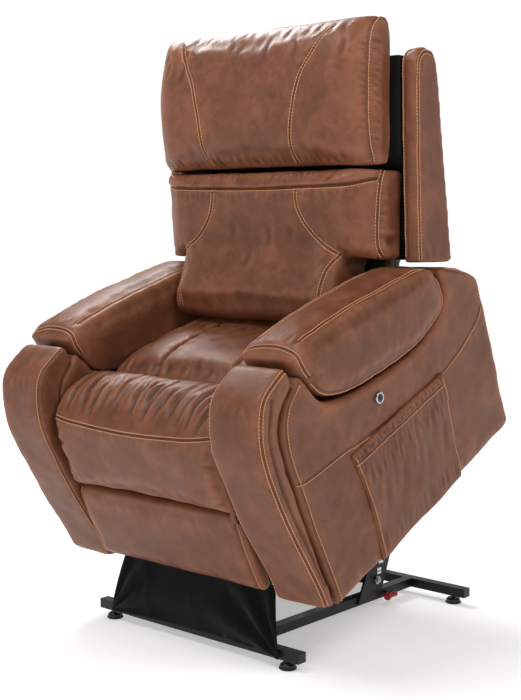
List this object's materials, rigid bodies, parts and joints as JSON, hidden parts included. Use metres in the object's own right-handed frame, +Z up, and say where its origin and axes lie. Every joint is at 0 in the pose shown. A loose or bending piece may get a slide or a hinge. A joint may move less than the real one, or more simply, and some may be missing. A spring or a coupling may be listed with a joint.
{
  "type": "lift recliner chair",
  "caption": "Padded leather armchair with reclining back, fold-out footrest and a powered base that lifts and tilts the whole seat forward, with a pocket on one side.",
  "frame": {"origin": "floor level, at the middle of the chair's footprint with the lift raised", "axes": "+Z up, -Y towards the front of the chair, +X to the occupant's left"},
  "size_m": [0.9027, 0.9866, 1.541],
  "materials": {
    "leather": "mid brown pull-up leather, semi-matt, with lighter orange-brown double stitching",
    "black_steel": "black powder coat",
    "zinc": "bright zinc plate",
    "black_plastic": "moulded black plastic",
    "red_plastic": "red moulded plastic",
    "black_cloth": "black woven lining cloth, also over the wooden frame of the back",
    "plywood": "bare plywood, hidden under the covers"
  },
  "bodies": {
    "base": {"base_front_bar": "black_steel", "base_rear_bar": "black_steel", "base_rail_left": "black_steel", "base_rail_right": "black_steel", "front_bar_cap_left": "black_plastic", "front_bar_cap_right": "black_plastic", "rear_bar_cap_left": "black_plastic", "rear_bar_cap_right": "black_plastic", "lift_tower_left": "black_steel", "lift_tower_right": "black_steel", "rear_pivot_bolt_left": "zinc", "rear_pivot_bolt_right": "zinc", "lift_motor_bracket": "black_steel", "lock_pin": "red_plastic", "front_skirt": "black_cloth"},
    "lift_arms": {"lift_arms": "black_steel"},
    "chair": {"side_plate_left": "black_steel", "side_plate_right": "black_steel", "front_cross_tube": "black_steel", "lift_clevis_tube": "black_steel", "recline_motor_tube": "black_steel", "front_pivot_bolt_left": "zinc", "front_pivot_bolt_right": "zinc", "seat_front_rail": "plywood", "seat_rear_rail": "plywood", "seat_spring_1": "zinc", "seat_spring_2": "zinc", "seat_spring_3": "zinc", "rear_cover": "leather", "arm_post_left": "leather", "arm_post_right": "leather", "arm_pad_left": "leather", "arm_pad_right": "leather", "arm_panel_left": "leather", "arm_panel_right": "leather", "side_pocket_left": "leather", "accessory_port": "zinc", "seat_cushion": "leather", "seat_front_roll": "leather"},
    "backrest": {"back_frame": "black_cloth", "back_rear_panel": "leather", "wing_left": "leather", "wing_right": "leather", "lumbar_cushion": "leather", "head_pillow": "leather"},
    "footrest_inner_links": {"footrest_inner_link_left": "black_steel", "footrest_inner_link_right": "black_steel"},
    "footrest_outer_links": {"footrest_outer_link_left": "black_steel", "footrest_outer_link_right": "black_steel"},
    "footrest": {"footrest_board": "plywood", "footrest_pad": "leather"},
    "lift_motor": {"lift_motor_housing": "black_plastic"},
    "lift_rod": {"lift_rod": "zinc"},
    "recline_motor": {"recline_motor_housing": "black_plastic"},
    "recline_rod": {"recline_rod": "zinc"},
    "front_foot_left": {"front_foot_left": "black_plastic"},
    "front_foot_right": {"front_foot_right": "black_plastic"},
    "rear_foot_left": {"rear_foot_left": "black_plastic"},
    "rear_foot_right": {"rear_foot_right": "black_plastic"}
  },
  "joints": [
    {"name": "lift", "type": "hinge", "parent": "base", "child": "lift_arms", "pos_m": [0, 0.28431, 0.082], "axis": [1, 0, 0], "range_deg": [0, 20.73], "deforming": ["front_skirt"]},
    {"name": "tilt", "type": "hinge", "parent": "lift_arms", "child": "chair", "pos_m": [0, -0.13966, 0.23174], "axis": [1, 0, 0], "range_deg": [-45.5, 0]},
    {"name": "lift_motor_swing", "type": "hinge", "parent": "base", "child": "lift_motor", "pos_m": [0, 0.42031, 0.075], "axis": [1, 0, 0], "range_deg": [0, 20.5]},
    {"name": "lift_rod_slide", "type": "slide", "parent": "lift_motor", "child": "lift_rod", "axis": [0, -0.827, 0.5623], "range_m": [-0.12, 0]},
    {"name": "recline", "type": "hinge", "parent": "chair", "child": "backrest", "pos_m": [0, 0.22087, 0.73941], "axis": [-1, 0, 0], "range_deg": [0, 45]},
    {"name": "recline_motor_swing", "type": "hinge", "parent": "chair", "child": "recline_motor", "pos_m": [0, -0.15496, 0.45594], "axis": [-1, 0, 0], "range_deg": [-8.25, 0]},
    {"name": "recline_rod_slide", "type": "slide", "parent": "recline_motor", "child": "recline_rod", "axis": [0, 0.9176, 0.3976], "range_m": [-0.067, 0]},
    {"name": "footrest_swing", "type": "hinge", "parent": "chair", "child": "footrest_inner_links", "pos_m": [0, -0.26602, 0.41023], "axis": [-1, 0, 0], "range_deg": [0, 115]},
    {"name": "footrest_knee", "type": "hinge", "parent": "footrest_inner_links", "child": "footrest_outer_links", "pos_m": [0, -0.10172, 0.27126], "axis": [-1, 0, 0], "range_deg": [-115, 0]},
    {"name": "footrest_ankle", "type": "hinge", "parent": "footrest_outer_links", "child": "footrest", "pos_m": [0, -0.27764, 0.31126], "axis": [-1, 0, 0], "range_deg": [0, 90.01]},
    {"name": "front_foot_level_left", "type": "slide", "parent": "base", "child": "front_foot_left", "axis": [0, 0, -1], "range_m": [0, 0.012]},
    {"name": "front_foot_level_right", "type": "slide", "parent": "base", "child": "front_foot_right", "axis": [0, 0, -1], "range_m": [0, 0.012]},
    {"name": "rear_foot_level_left", "type": "slide", "parent": "base", "child": "rear_foot_left", "axis": [0, 0, -1], "range_m": [0, 0.012]},
    {"name": "rear_foot_level_right", "type": "slide", "parent": "base", "child": "rear_foot_right", "axis": [0, 0, -1], "range_m": [0, 0.012]}
  ],
  "couplings": [
    {"joint": "tilt", "follows": "lift", "ratio": -2.1945},
    {"joint": "lift_motor_swing", "follows": "lift", "ratio": 0.9847},
    {"joint": "lift_rod_slide", "follows": "lift", "m_per_rad": -0.33079},
    {"joint": "recline_motor_swing", "follows": "recline", "ratio": -0.18205},
    {"joint": "recline_rod_slide", "follows": "recline", "m_per_rad": -0.084681},
    {"joint": "footrest_knee", "follows": "footrest_swing", "ratio": -1},
    {"joint": "footrest_ankle", "follows": "footrest_swing", "ratio": 0.78261}
  ]
}
